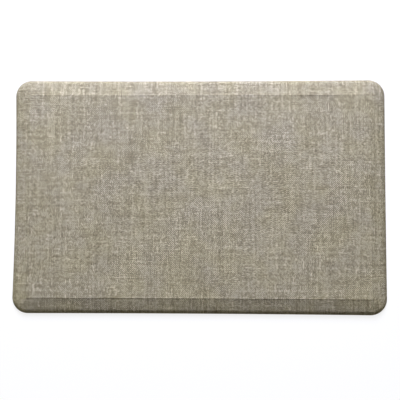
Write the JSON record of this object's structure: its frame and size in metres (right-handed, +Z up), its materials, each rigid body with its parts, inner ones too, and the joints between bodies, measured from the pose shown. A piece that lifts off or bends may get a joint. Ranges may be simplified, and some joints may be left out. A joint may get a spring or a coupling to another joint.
{
  "type": "anti fatigue mat",
  "caption": "Cushioned floor mat to stand on, with a linen-look cover, a bevel on all sides, a bonded foam core and a ribbed non-slip underside.",
  "frame": {"origin": "centre of the underside, on the plane that the mat lies on", "axes": "+X along the long side, +Y towards the back long side, +Z up out of the standing face"},
  "size_m": [0.81, 0.51, 0.019],
  "materials": {
    "cover": "satin",
    "scrim": "matte",
    "bond_film": "satin",
    "comfort_foam": "matte",
    "support_foam": "matte",
    "base_sheet": "matte",
    "weld": "satin"
  },
  "bodies": {
    "root": {"top_cover": "cover", "cover_scrim": "scrim", "cover_bond_film": "bond_film", "comfort_foam": "comfort_foam", "core_bond_film": "bond_film", "support_foam": "support_foam", "base_bond_film": "bond_film", "base_sheet": "base_sheet", "edge_weld": "weld"}
  },
  "joints": []
}
